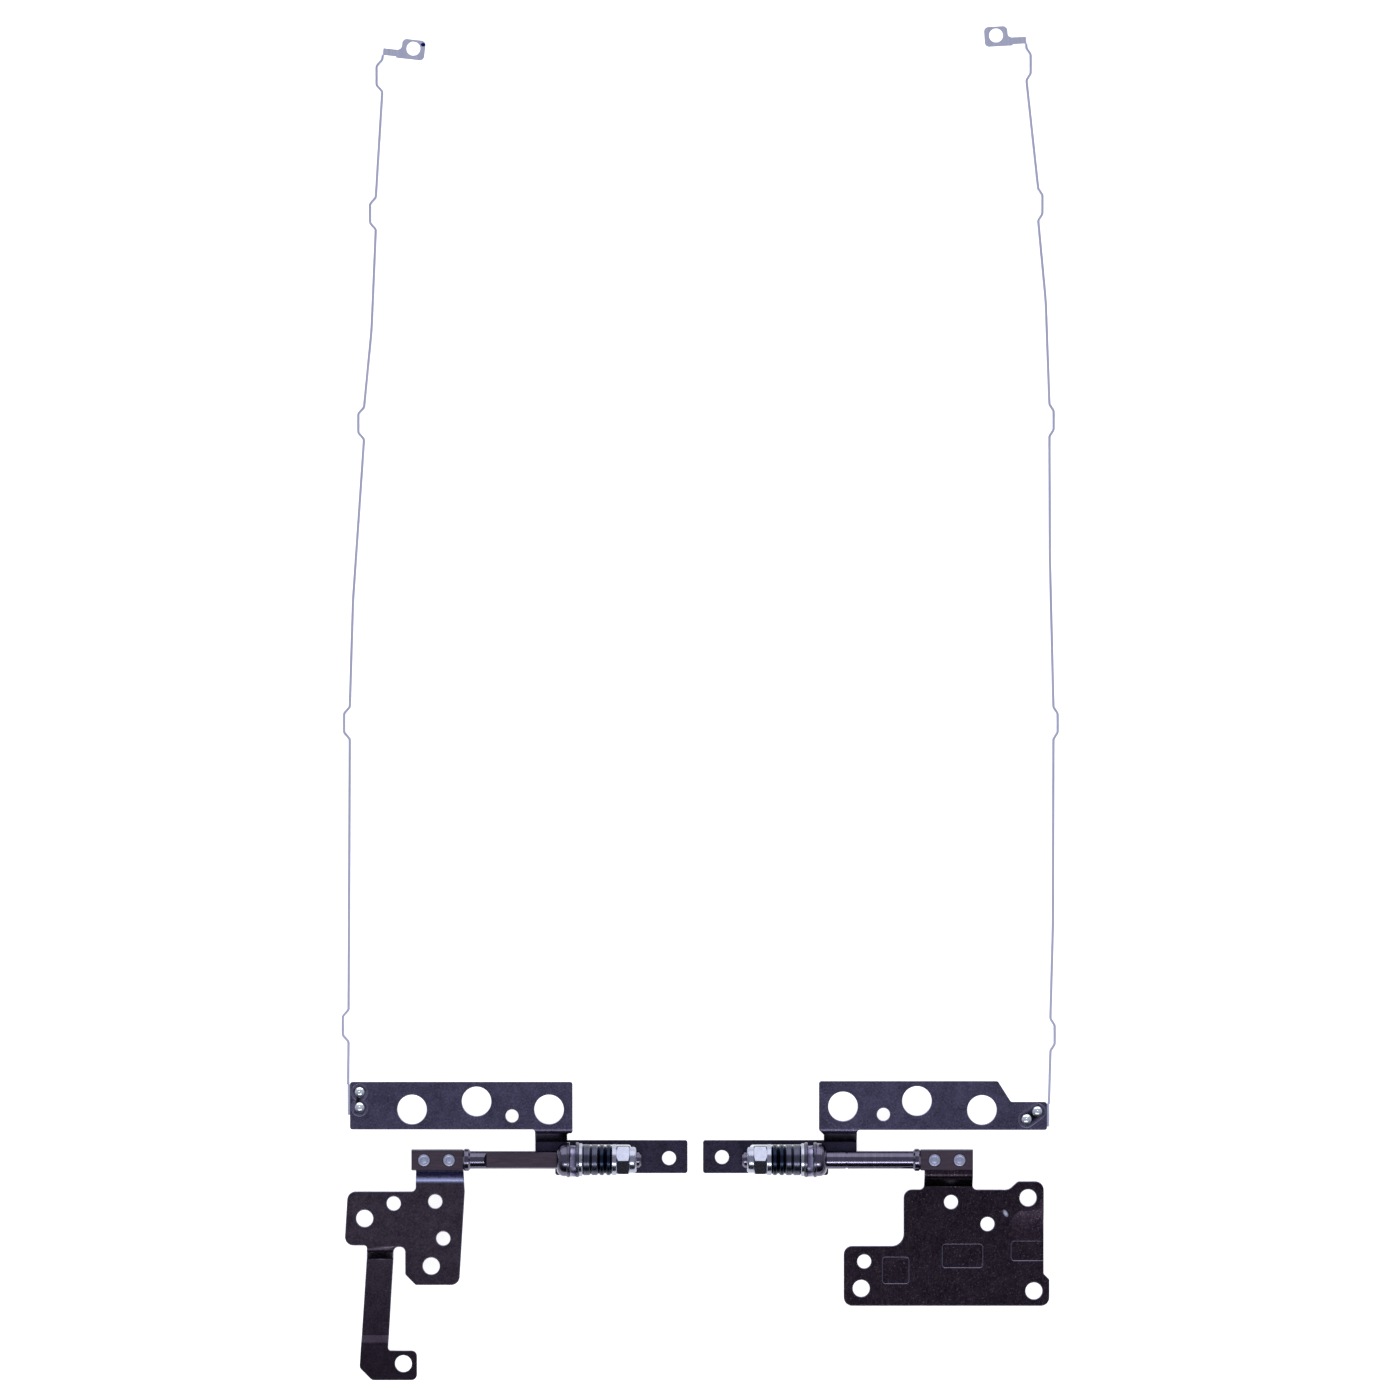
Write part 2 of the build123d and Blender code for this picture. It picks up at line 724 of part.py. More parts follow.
# Left base bracket: the plate's sides lean out slightly as they drop, and so does the leg
left_start = left_seat + tail_start
left_wing_corner = left_base_out + left_base_lean * (left_base_top - left_wing_low)
left_lobe_corner = left_base_in + left_base_lean * (left_base_top - left_lobe_low)
left_leg_foot_in = left_leg_in + left_base_lean * (left_leg_high - left_foot_high)
left_leg_foot_out = left_leg_out + left_base_lean * (left_leg_high - left_foot_low)
left_plate_sheet = [
    (left_tongue_in, tongue_high, 0),
    (left_tongue_out, tongue_high, 0),
    (left_tongue_out, left_base_top, tongue_fillet),
    (left_base_out, left_base_top, base_round),
    (left_wing_corner, left_wing_low, base_round),
    (left_leg_in, left_wing_low, 0),
    (left_leg_in, left_slot_high, 0),
    (left_lobe_out, left_slot_high, left_slot_round),
    (left_lobe_out, left_lobe_low + left_lobe_cut, corner_r),
    (left_lobe_out - left_lobe_cut, left_lobe_low, corner_r),
    (left_lobe_corner, left_lobe_low, base_round),
    (left_base_in, left_base_top, inner_corner_r),
]
left_leg_sheet = [
    (left_lobe_out, left_slot_high, 0),
    (left_lobe_out, left_wing_low + sheet, 0),
    (left_leg_out + sheet, left_wing_low + sheet, 0),
    (left_leg_out + sheet, left_wing_low, 0),
    (left_leg_out, left_wing_low, inner_corner_r),
    (left_leg_foot_out, left_foot_low + left_foot_cut, left_foot_round),
    (left_leg_foot_out - left_foot_cut, left_foot_low, left_foot_round),
    (left_foot_in, left_foot_low, left_foot_round),
    (left_foot_in, left_foot_high, left_foot_round),
    (left_leg_foot_in, left_foot_high, inner_corner_r),
    (left_leg_in, left_slot_high, left_slot_round),
]
left_plate_fold = [
    (tongue_high, tongue_low + sheet / 2),
    (left_bend_high, tongue_low + sheet / 2),
    (left_bend_low, left_base_level + sheet / 2),
    (left_lobe_low - sheet, left_base_level + sheet / 2),
]
left_leg_fold = [
    (left_wing_low + 2 * sheet, left_base_level + sheet / 2),
    (left_leg_high, left_base_level + sheet / 2),
    (left_leg_low, left_leg_level + sheet / 2),
    (left_foot_bend_high, left_leg_level + sheet / 2),
    (left_foot_bend_low, left_foot_level + sheet / 2),
    (left_foot_low - sheet, left_foot_level + sheet / 2),
]
left_base_high = left_base_level + sheet
left_reach = -left_start - left_wing_corner - sheet
with BuildPart() as left_leg:
    with BuildSketch(end_on(0)):
        add(folded(left_leg_fold, sheet, bend_r))
    extrude(amount=left_reach)
    with BuildSketch(plan(left, left_start)):
        add(outline(left, left_leg_sheet))
    extrude(amount=left_base_high, mode=Mode.INTERSECT)
with BuildPart() as left_base:
    with BuildSketch(end_on(0)):
        add(folded(left_plate_fold, sheet, bend_r))
    extrude(amount=left_reach)
    with BuildSketch(plan(left, left_start)):
        add(outline(left, left_plate_sheet))
    extrude(amount=left_base_high, mode=Mode.INTERSECT)
    add(left_leg.part)
    add(base_holes(left, left_seat, left_screw_holes, left_pin_holes))
    extrude(amount=left_base_high, mode=Mode.SUBTRACT)
save(left_base, "left_base_bracket")

# Right base bracket: the tongue drops to a plate flat on the table, and the plate's corner pad is pressed up
right_start = right_seat + tail_start
right_tongue_sheet = [
    (right_tongue_in, tongue_high, 0),
    (right_tongue_out, tongue_high, 0),
    (right_tongue_out, right_base_top, tongue_fillet),
    (right_tongue_out + sheet, right_base_top, 0),
    (right_tongue_out + sheet, right_base_top - sheet, 0),
    (right_tongue_in - sheet, right_base_top - sheet, 0),
    (right_tongue_in - sheet, right_base_top, 0),
    (right_tongue_in, right_base_top, tongue_fillet),
]
right_plate_sheet = [
    (right_lobe_in - right_lobe_slope, right_base_top, base_round),
    (right_lobe_in, right_lobe_high, base_round / 2),
    (right_base_out, right_lobe_high, base_round),
    (right_base_out, right_corner_high + right_corner_out - right_base_out, corner_r),
    (right_corner_out, right_corner_high, corner_r),
    (right_corner_out, right_base_low, base_round),
    (right_wing_in, right_base_low, base_round),
    (right_wing_in, right_wing_high, base_round),
    (right_base_in, right_wing_high, right_wing_fillet),
    (right_base_in, right_base_top, base_round),
]
right_tongue_fold = [
    (tongue_high, tongue_low + sheet / 2),
    (right_bend_high, tongue_low + sheet / 2),
    (right_bend_low, sheet / 2),
    (right_base_top - 2 * sheet, sheet / 2),
]


def pad_corners(inset):
    """Pad outline, run past the plate's edges, drawn in by an inset at its two inner sides."""
    far_out = right_corner_out + pad_slope
    far_high = tongue_high
    low = pad_low - pad_slope + inset
    near = pad_in - pad_slope + inset
    return [(near, far_high, 0), (near, low, pad_round), (far_out, low, 0), (far_out, far_high, 0)]


with BuildPart() as pad:
    for level, inset in [(0, 0), (pad_lift, pad_slope)]:
        with BuildSketch(plan(right, right_start, level)):
            add(outline(right, pad_corners(inset)))
    loft()

with BuildPart() as right_tongue:
    with BuildSketch(end_on(0)):
        add(folded(right_tongue_fold, sheet, bend_r))
    extrude(amount=right_start + right_corner_out)
    with BuildSketch(plan(right, right_start)):
        add(outline(right, right_tongue_sheet))
    extrude(amount=tongue_low + sheet, mode=Mode.INTERSECT)
with BuildPart() as right_base:
    with BuildSketch(plan(right, right_start)):
        add(outline(right, right_plate_sheet))
    extrude(amount=sheet)
    add(Pos(0, 0, sheet) * pad.part)
    with BuildSketch(plan(right, right_start)):
        add(outline(right, right_plate_sheet))
    extrude(amount=sheet + pad_lift, mode=Mode.INTERSECT)
    add(pad.part, mode=Mode.SUBTRACT)
    add(right_tongue.part)
    with BuildSketch(plan(right, right_start, sheet)):
        for out, rise, width, height in panels:
            with Locations((out, rise)):
                RectangleRounded(width, height, panel_round)
    extrude(amount=-panel_depth, mode=Mode.SUBTRACT)
    add(base_holes(right, right_seat, right_screw_holes, right_pin_holes))
    extrude(amount=tongue_low + sheet, mode=Mode.SUBTRACT)
save(right_base, "right_base_bracket")
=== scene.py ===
import bpy
from math import pi, radians
from mathutils import Matrix, Vector


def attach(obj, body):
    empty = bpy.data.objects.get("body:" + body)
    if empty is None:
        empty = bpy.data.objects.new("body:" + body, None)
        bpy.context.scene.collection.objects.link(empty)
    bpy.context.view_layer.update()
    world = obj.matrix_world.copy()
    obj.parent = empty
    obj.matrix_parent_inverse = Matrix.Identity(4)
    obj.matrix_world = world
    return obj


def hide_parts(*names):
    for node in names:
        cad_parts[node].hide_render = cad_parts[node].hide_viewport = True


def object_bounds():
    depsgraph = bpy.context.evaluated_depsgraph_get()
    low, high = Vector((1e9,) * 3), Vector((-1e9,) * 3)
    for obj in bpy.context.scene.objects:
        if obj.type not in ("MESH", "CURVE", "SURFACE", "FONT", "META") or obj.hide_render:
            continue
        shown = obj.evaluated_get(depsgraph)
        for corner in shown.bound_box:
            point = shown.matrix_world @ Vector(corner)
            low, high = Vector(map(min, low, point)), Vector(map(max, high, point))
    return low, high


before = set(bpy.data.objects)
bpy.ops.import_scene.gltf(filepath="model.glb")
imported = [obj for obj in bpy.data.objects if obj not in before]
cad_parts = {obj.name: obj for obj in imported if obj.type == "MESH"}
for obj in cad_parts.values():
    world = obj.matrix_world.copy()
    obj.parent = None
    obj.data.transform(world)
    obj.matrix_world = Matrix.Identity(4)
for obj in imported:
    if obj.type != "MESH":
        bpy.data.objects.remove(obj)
cad_low, cad_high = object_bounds()


# Shafts: one turned steel pin in each hinge, plated with dark nickel. The left shank has a flat
# milled along its top, and both tails are flattened where the base bracket is riveted on.
# The lathe leaves fine rings that shine, and the cutter leaves the flats matt and brownish.
mm = 0.001
sides = ["left", "right"]


def linear(tone):
    """A colour written as sRGB hex, as the shader wants it."""
    parts = [int(tone[i:i + 2], 16) / 255 for i in (1, 3, 5)]
    return [p / 12.92 if p <= 0.04045 else ((p + 0.055) / 1.055) ** 2.4 for p in parts] + [1.0]


def put(tree, kind, inputs, **settings):
    """Adds a node: its settings, then for each input either a value or the output that feeds it."""
    node = tree.nodes.new(kind)
    for setting, value in settings.items():
        setattr(node, setting, value)
    for socket, value in inputs.items():
        if isinstance(value, bpy.types.NodeSocket):
            tree.links.new(value, node.inputs[socket])
        else:
            node.inputs[socket].default_value = value
    return node


def new_finish(name, roughness, metallic=1.0):
    """A bare finish, with its surface shader and its place on the piece."""
    finish = bpy.data.materials.new(name)
    finish.use_nodes = True
    tree = finish.node_tree
    surface = tree.nodes["Principled BSDF"]
    surface.inputs["Metallic"].default_value = metallic
    surface.inputs["Roughness"].default_value = roughness
    return finish, tree, surface, put(tree, "ShaderNodeTexCoord", {})


def dress(node, finish):
    """Gives a solid its finish."""
    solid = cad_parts[node]
    solid.data.materials.clear()
    solid.data.materials.append(finish)


turned, tree, surface, place = new_finish("dark_nickel_plated_turned_steel", 0.24)
# Feed rings of 0.05 mm are drawn 0.3 mm apart, so that they show.
feed = put(
    tree, "ShaderNodeMapping",
    {"Vector": place.outputs["Object"], "Scale": (0.3 * mm, 20 * mm, 20 * mm)},
    vector_type="TEXTURE",
)
rings = put(tree, "ShaderNodeTexNoise", {"Vector": feed.outputs["Vector"], "Scale": 1.0, "Detail": 2.0})
sweep = put(
    tree, "ShaderNodeMapping",
    {"Vector": place.outputs["Object"], "Scale": (2.5 * mm, 0.25 * mm, 2.5 * mm)},
    vector_type="TEXTURE",
)
strokes = put(tree, "ShaderNodeTexNoise", {"Vector": sweep.outputs["Vector"], "Scale": 1.0, "Detail": 3.0})
facing = put(tree, "ShaderNodeSeparateXYZ", {"Vector": place.outputs["Normal"]})
spot = put(tree, "ShaderNodeSeparateXYZ", {"Vector": place.outputs["Object"]})
# A face is level where its normal points up by more than this, and the flats lie below flat_level.
level_face = 0.99
flat_level = 6.4 * mm
upward = put(tree, "ShaderNodeMath", {0: facing.outputs["Z"], 1: level_face}, operation="GREATER_THAN")
below = put(tree, "ShaderNodeMath", {0: spot.outputs["Z"], 1: flat_level}, operation="LESS_THAN")
milled = put(tree, "ShaderNodeMath", {0: upward.outputs[0], 1: below.outputs[0]}, operation="MULTIPLY")
round_tone = put(
    tree, "ShaderNodeMix",
    {0: rings.outputs["Fac"], 6: linear("#474355"), 7: linear("#666375")},
    data_type="RGBA",
)
flat_tone = put(
    tree, "ShaderNodeMix",
    {0: strokes.outputs["Fac"], 6: linear("#3d353f"), 7: linear("#5a505c")},
    data_type="RGBA",
)
tone = put(
    tree, "ShaderNodeMix",
    {0: milled.outputs[0], 6: round_tone.outputs[2], 7: flat_tone.outputs[2]},
    data_type="RGBA",
)
tree.links.new(tone.outputs[2], surface.inputs["Base Color"])
shine = put(tree, "ShaderNodeMapRange", {"Value": milled.outputs[0], "To Min": 0.17, "To Max": 0.4})
tree.links.new(shine.outputs["Result"], surface.inputs["Roughness"])
for side in sides:
    dress(f"{side}_shaft", turned)


# Friction washers: thin hardened discs on both sides of the bracket's ear, keyed to the shaft.
# They are stamped, tumbled and left dark, so only their rims catch the light.
tumbled, tree, surface, place = new_finish("tumbled_hardened_steel", 0.27)
tumble = put(
    tree, "ShaderNodeTexNoise",
    {"Vector": place.outputs["Object"], "Scale": 1 / (0.5 * mm), "Detail": 4.0},
)
tone = put(
    tree, "ShaderNodeMix",
    {0: tumble.outputs["Fac"], 6: linear("#343441"), 7: linear("#5d5c6d")},
    data_type="RGBA",
)
tree.links.new(tone.outputs[2], surface.inputs["Base Color"])
for side in sides:
    for washer in ["outer_friction_washer", "inner_friction_washer"]:
        dress(f"{side}_{washer}", tumbled)


# Display brackets: each is one steel sheet, stamped, folded and plated with black nickel. Its ear
# is lanced out of the strip and stands up round the shaft, and a joggled arm carries the plate.
# The press rolls the rims over, and they are painted lighter than the satin faces: partly rubbed wear,
# partly painted highlight.
# The rivet recesses in the plates have their floor at this height, and their rims are lightened little: they
# are less worn and lie in painted shade.
recess_floor = 3.5 * mm
floor_play = 0.05 * mm
recess_rim_lightening = 0.25
# Corners nearer than weld are one corner, and faces that turn by less than flat_turn are one face.
weld = 0.002 * mm
flat_turn = radians(0.5)
# A skin of the sheet runs on over folds that turn by less than fold_turn, and ends at the cut edge.
fold_turn = radians(60)
smooth_turn = radians(50)
# A corner is known again by its place, to this many decimals of a metre.
decimals = 7


def rolled_sheet(node, body, width, drop, finish):
    """A copy of a stamped sheet with the rims of both skins rolled over, to stand for the solid."""
    piece = bpy.data.objects.new(node + "_rolled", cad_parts[node].data.copy())
    bpy.context.scene.collection.objects.link(piece)
    bpy.ops.object.select_all(action="DESELECT")
    piece.select_set(True)
    bpy.context.view_layer.objects.active = piece
    bpy.ops.mesh.customdata_custom_splitnormals_clear()
    bpy.ops.object.mode_set(mode="EDIT")
    bpy.ops.mesh.select_mode(type="FACE")
    bpy.ops.mesh.select_all(action="SELECT")
    bpy.ops.mesh.remove_doubles(threshold=weld)
    bpy.ops.mesh.dissolve_limited(angle_limit=flat_turn)
    rims, skins = set(), set()
    for way in [1, -1]:
        bpy.ops.mesh.select_all(action="DESELECT")
        bpy.ops.object.mode_set(mode="OBJECT")
        sheet = piece.data
        widest = max(sheet.polygons, key=lambda face: face.area * (face.normal.z * way > level_face))
        widest.select = True
        sheet.polygons.active = widest.index
        bpy.ops.object.mode_set(mode="EDIT")
        bpy.ops.mesh.faces_select_linked_flat(sharpness=fold_turn)
        bpy.ops.object.mode_set(mode="OBJECT")
        sheet = piece.data
        others = {corner for face in sheet.polygons if not face.select for corner in face.vertices}
        facing = {}
        for face in sheet.polygons:
            for corner in face.vertices:
                if face.select and corner in others:
                    spot = sheet.vertices[corner].co.to_tuple(decimals)
                    facing[spot] = facing.get(spot, Vector()) + face.normal * face.area
        bpy.ops.object.mode_set(mode="EDIT")
        bpy.ops.mesh.inset(
            thickness=width, depth=0, use_boundary=True, use_even_offset=False, use_relative_offset=False
        )
        bpy.ops.object.mode_set(mode="OBJECT")
        inner = {corner for face in piece.data.polygons if face.select for corner in face.vertices}
        for corner in piece.data.vertices:
            spot = corner.co.to_tuple(decimals)
            if corner.index in inner:
                corner.co.z = max(corner.co.z, cad_low[2])
                skins.add(corner.co.to_tuple(decimals))
            elif spot in facing:
                corner.co -= facing[spot].normalized() * drop
                rims.add(corner.co.to_tuple(decimals))
        bpy.ops.object.mode_set(mode="EDIT")
    bpy.ops.object.mode_set(mode="OBJECT")
    bpy.ops.object.shade_smooth_by_angle(angle=smooth_turn)
    even = piece.modifiers.new("even faces", "WEIGHTED_NORMAL")
    even.keep_sharp = True
    bpy.ops.object.modifier_apply(modifier=even.name)
    rim_wear_and_highlight = piece.data.attributes.new("rim_wear_and_highlight", "FLOAT", "POINT")
    sunk = piece.data.attributes.new("sunk", "FLOAT", "POINT")
    for face in piece.data.polygons:
        on_floor = face.normal.z > level_face and abs(face.center.z - recess_floor) < floor_play
        for corner in face.vertices:
            spot = piece.data.vertices[corner].co.to_tuple(decimals)
            if spot in rims:
                rim_wear_and_highlight.data[corner].value = 1.0
            elif on_floor and spot not in skins:
                sunk.data[corner].value = 1.0
    for face in piece.data.polygons:
        if any(sunk.data[corner].value for corner in face.vertices):
            for corner in face.vertices:
                rim_wear_and_highlight.data[corner].value = min(rim_wear_and_highlight.data[corner].value, recess_rim_lightening)
    piece.data.materials.clear()
    piece.data.materials.append(finish)
    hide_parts(node)
    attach(piece, body)


def plated_sheet(name, deep, plain, edge, scuffed, scuffs, specks):
    """Black nickel on sheet: clouds, grain, scuffs, specks and rims lightened by wear and painted highlight,
    in a tone to work on.
    """
    finish, tree, surface, place = new_finish(name, 0.3)
    cloud = put(
        tree, "ShaderNodeTexNoise",
        {"Vector": place.outputs["Object"], "Scale": 1 / (2.5 * mm), "Detail": 4.0, "Roughness": 0.6},
    )
    # The grain of the plated sheet is about 0.05 mm, and is drawn 0.35 mm wide so that it shows.
    grain = put(
        tree, "ShaderNodeTexNoise",
        {"Vector": place.outputs["Object"], "Scale": 1 / (0.35 * mm), "Detail": 2.0, "Roughness": 0.7},
    )
    mottle = put(tree, "ShaderNodeMath", {0: cloud.outputs["Fac"], 1: grain.outputs["Fac"]}, operation="ADD")
    depth = put(tree, "ShaderNodeMapRange", {"Value": mottle.outputs[0], "From Min": 0.72, "From Max": 1.28})
    plain_tone = put(
        tree, "ShaderNodeMix",
        {0: depth.outputs["Result"], 6: linear(deep), 7: linear(plain)},
        data_type="RGBA",
    )
    # Hairline scuffs run in four directions, and are drawn 0.18 mm wide so that they show. Each way
    # has its turn in degrees, its length in mm and its shift in mm.
    worn = 0.0
    for turn, length, shift in [(24, 1.6, 0.0), (-41, 1.2, 3.0), (78, 2.0, 6.0), (-72, 1.0, 9.0)]:
        drag = put(
            tree, "ShaderNodeMapping",
            {
                "Vector": place.outputs["Object"],
                "Location": (shift * mm, 0, 0),
                "Rotation": (0, 0, radians(turn)),
                "Scale": (length * mm, 0.18 * mm, length * mm),
            },
            vector_type="TEXTURE",
        )
        line = put(
            tree, "ShaderNodeTexNoise",
            {"Vector": drag.outputs["Vector"], "Scale": 1.0, "Detail": 1.0},
        )
        hair = put(
            tree, "ShaderNodeMapRange",
            {"Value": line.outputs["Fac"], "From Min": 0.62, "From Max": 0.78, "To Max": scuffs},
        )
        most = put(tree, "ShaderNodeMath", {0: worn, 1: hair.outputs["Result"]}, operation="MAXIMUM")
        worn = most.outputs[0]
    dust = put(
        tree, "ShaderNodeTexNoise",
        {"Vector": place.outputs["Object"], "Scale": 1 / (0.28 * mm), "Detail": 0.0},
    )
    fleck = put(
        tree, "ShaderNodeMapRange",
        {"Value": dust.outputs["Fac"], "From Min": 0.72, "From Max": 0.82, "To Max": specks},
    )
    most = put(tree, "ShaderNodeMath", {0: worn, 1: fleck.outputs["Result"]}, operation="MAXIMUM")
    scuff_tone = put(
        tree, "ShaderNodeMix",
        {0: most.outputs[0], 6: plain_tone.outputs[2], 7: linear(scuffed)},
        data_type="RGBA",
    )
    # Rims are painted lighter: partly rubbed wear, partly painted highlight.
    rim_lightening = put(tree, "ShaderNodeAttribute", {}, attribute_name="rim_wear_and_highlight")
    edge_tone = put(
        tree, "ShaderNodeMix",
        {0: rim_lightening.outputs["Fac"], 6: scuff_tone.outputs[2], 7: linear(edge)},
        data_type="RGBA",
    )
    satin = put(
        tree, "ShaderNodeMapRange",
        {"Value": grain.outputs["Fac"], "From Min": 0.3, "From Max": 0.7, "To Min": 0.25, "To Max": 0.38},
    )
    tree.links.new(satin.outputs["Result"], surface.inputs["Roughness"])
    pits = put(
        tree, "ShaderNodeBump",
        {"Height": grain.outputs["Fac"], "Strength": 0.08, "Distance": 0.05 * mm},
    )
    tree.links.new(pits.outputs["Normal"], surface.inputs["Normal"])
    return finish, tree, surface, place, edge_tone.outputs[2]


display_plating, tree, surface, place, tone = plated_sheet(
    "black_nickel_plated_display_sheet", deep="#3f3c50", plain="#5c5974",
    edge="#a09dbb", scuffed="#7b7890", scuffs=0.14, specks=0.5,
)
# Painted shade darkens the strip and the arm below the plate, and it gathers in the arm's
# bends and in the sunk rivet recesses.
shade_darkest_level = 0.8 * mm
shade_free_level = 3.7 * mm
arm_y = -86.8 * mm
arm_reach = 1.6 * mm
height = put(tree, "ShaderNodeSeparateXYZ", {"Vector": place.outputs["Object"]})
low_shade = put(
    tree, "ShaderNodeMapRange",
    {
        "Value": height.outputs["Z"],
        "From Min": shade_darkest_level, "From Max": shade_free_level,
        "To Min": 0.62, "To Max": 0.0,
    },
)
facing = put(tree, "ShaderNodeSeparateXYZ", {"Vector": place.outputs["Normal"]})
tilt = put(
    tree, "ShaderNodeMapRange",
    {"Value": facing.outputs["Z"], "From Min": 0.999, "From Max": 0.95, "To Max": 0.65},
)
arm = put(
    tree, "ShaderNodeMath",
    {0: height.outputs["Y"], 1: arm_y, 2: arm_reach},
    operation="COMPARE",
)
bend_shade = put(tree, "ShaderNodeMath", {0: tilt.outputs["Result"], 1: arm.outputs[0]}, operation="MULTIPLY")
low_and_bend_shade = put(
    tree, "ShaderNodeMath",
    {0: low_shade.outputs["Result"], 1: bend_shade.outputs[0]},
    operation="MAXIMUM",
)
# The sunk rivet recess floors get the same painted shade.
sink = put(tree, "ShaderNodeAttribute", {}, attribute_name="sunk")
painted_shade = put(tree, "ShaderNodeMath", {0: low_and_bend_shade.outputs[0], 1: sink.outputs["Fac"]}, operation="MAXIMUM")
shaded_tone = put(
    tree, "ShaderNodeMix",
    {0: painted_shade.outputs[0], 6: tone, 7: linear("#16131c")},
    data_type="RGBA",
)
tree.links.new(shaded_tone.outputs[2], surface.inputs["Base Color"])
for side in sides:
    rolled_sheet(
        f"{side}_display_bracket", f"{side}_lid", width=0.11 * mm, drop=0.1 * mm, finish=display_plating
    )


# Bright washers: a flat nickel-plated washer inside each friction pack, and another one that
# takes the thrust of the nut. They are turned, polished and plated, so they read as light rings.
bright, tree, surface, place = new_finish("bright_nickel_plated_steel", 0.22)
polish = put(
    tree, "ShaderNodeTexNoise",
    {"Vector": place.outputs["Object"], "Scale": 1 / (0.8 * mm), "Detail": 4.0},
)
tone = put(
    tree, "ShaderNodeMix",
    {0: polish.outputs["Fac"], 6: linear("#888b9c"), 7: linear("#a7aabb")},
    data_type="RGBA",
)
tree.links.new(tone.outputs[2], surface.inputs["Base Color"])
for side in sides:
    for washer in ["bright_washer", "thrust_washer"]:
        dress(f"{side}_{washer}", bright)


# Friction discs: one wide and one narrow disc of sintered steel, keyed to the shaft.
# Their rims are ground, which leaves fine rings round the dark grey metal.
ground, tree, surface, place = new_finish("ground_sintered_steel", 0.28)
# Wheel marks of 0.02 mm are drawn 0.25 mm apart, so that they show.
wheel = put(
    tree, "ShaderNodeMapping",
    {"Vector": place.outputs["Object"], "Scale": (0.25 * mm, 6 * mm, 6 * mm)},
    vector_type="TEXTURE",
)
rings = put(tree, "ShaderNodeTexNoise", {"Vector": wheel.outputs["Vector"], "Scale": 1.0, "Detail": 4.0})
tone = put(
    tree, "ShaderNodeMix",
    {0: rings.outputs["Fac"], 6: linear("#2a2b37"), 7: linear("#595b6d")},
    data_type="RGBA",
)
tree.links.new(tone.outputs[2], surface.inputs["Base Color"])
for side in sides:
    for disc in ["wide_friction_disc", "narrow_friction_disc"]:
        dress(f"{side}_{disc}", ground)


# Spring washers: two stamped washers with tapered rims, which keep the friction pack pressed
# together. The spring steel is blackened in hot oxide and oiled: black with a faint blue sheen.
blackened, tree, surface, place = new_finish("black_oxide_spring_steel", 0.26)
oil = put(
    tree, "ShaderNodeTexNoise",
    {"Vector": place.outputs["Object"], "Scale": 1 / (1.1 * mm), "Detail": 3.0},
)
tone = put(
    tree, "ShaderNodeMix",
    {0: oil.outputs["Fac"], 6: linear("#10141e"), 7: linear("#283046")},
    data_type="RGBA",
)
tree.links.new(tone.outputs[2], surface.inputs["Base Color"])
for side in sides:
    for spring in ["outer_spring_washer", "inner_spring_washer"]:
        dress(f"{side}_{spring}", blackened)


# Lock nuts: hexagon nuts, nickel plated, screwed down on the stack to set its friction. A nylon
# ring is rolled into the nut's collar and grips the thread, so that the setting holds.
nylon, tree, surface, place = new_finish("natural_nylon", 0.45, 0.0)
surface.inputs["IOR"].default_value = 1.53
haze = put(
    tree, "ShaderNodeTexNoise",
    {"Vector": place.outputs["Object"], "Scale": 1 / (1.2 * mm), "Detail": 2.0},
)
tone = put(
    tree, "ShaderNodeMix",
    {0: haze.outputs["Fac"], 6: linear("#cfcabd"), 7: linear("#e4e0d6")},
    data_type="RGBA",
)
tree.links.new(tone.outputs[2], surface.inputs["Base Color"])
for side in sides:
    dress(f"{side}_lock_nut", bright)
    dress(f"{side}_nut_insert", nylon)


# Base brackets: one stamped and folded sheet on each side, screwed to the laptop's base. The left
# one steps up to its plate and down to its leg, and the right one drops to a wide plate with a
# pressed corner pad and three coined panels. Same plating, in browner and darker tones.
left_plating, tree, surface, place, tone = plated_sheet(
    "black_nickel_plated_left_base_sheet", deep="#332c38", plain="#4a424f",
    edge="#8c88a2", scuffed="#6e6470", scuffs=0.16, specks=0.5,
)
# The leg is drawn darker towards its foot, and a painted highlight lightens the slope below the tongue where
# it tips towards the far screen.
foot_y = -132 * mm
leg_top_y = -106 * mm
slope_foot_y = -97 * mm
spot = put(tree, "ShaderNodeSeparateXYZ", {"Vector": place.outputs["Object"]})
# The leg is drawn darker towards its foot.
darker_to_foot = put(
    tree, "ShaderNodeMapRange",
    {
        "Value": spot.outputs["Y"],
        "From Min": foot_y, "From Max": leg_top_y,
        "To Min": 0.75, "To Max": 0.0,
    },
)
leg_tone = put(
    tree, "ShaderNodeMix",
    {0: darker_to_foot.outputs["Result"], 6: tone, 7: linear("#1d1721")},
    data_type="RGBA",
)
facing = put(tree, "ShaderNodeSeparateXYZ", {"Vector": place.outputs["Normal"]})
slope = put(
    tree, "ShaderNodeMapRange",
    {"Value": facing.outputs["Y"], "From Min": 0.1, "From Max": 0.5},
)
above_foot = put(
    tree, "ShaderNodeMath",
    {0: spot.outputs["Y"], 1: slope_foot_y},
    operation="GREATER_THAN",
)
# Painted highlight on the slope's faces that tip towards the far screen.
slope_highlight = put(
    tree, "ShaderNodeMath",
    {0: slope.outputs["Result"], 1: above_foot.outputs[0]},
    operation="MULTIPLY",
)
highlit_tone = put(
    tree, "ShaderNodeMix",
    {0: slope_highlight.outputs[0], 6: leg_tone.outputs[2], 7: linear("#868bb0")},
    data_type="RGBA",
)
tree.links.new(highlit_tone.outputs[2], surface.inputs["Base Color"])
right_plating, tree, surface, place, tone = plated_sheet(
    "black_nickel_plated_right_base_sheet", deep="#1d1722", plain="#322a36",
    edge="#7d7890", scuffed="#6a5c62", scuffs=0.3, specks=0.8,
)
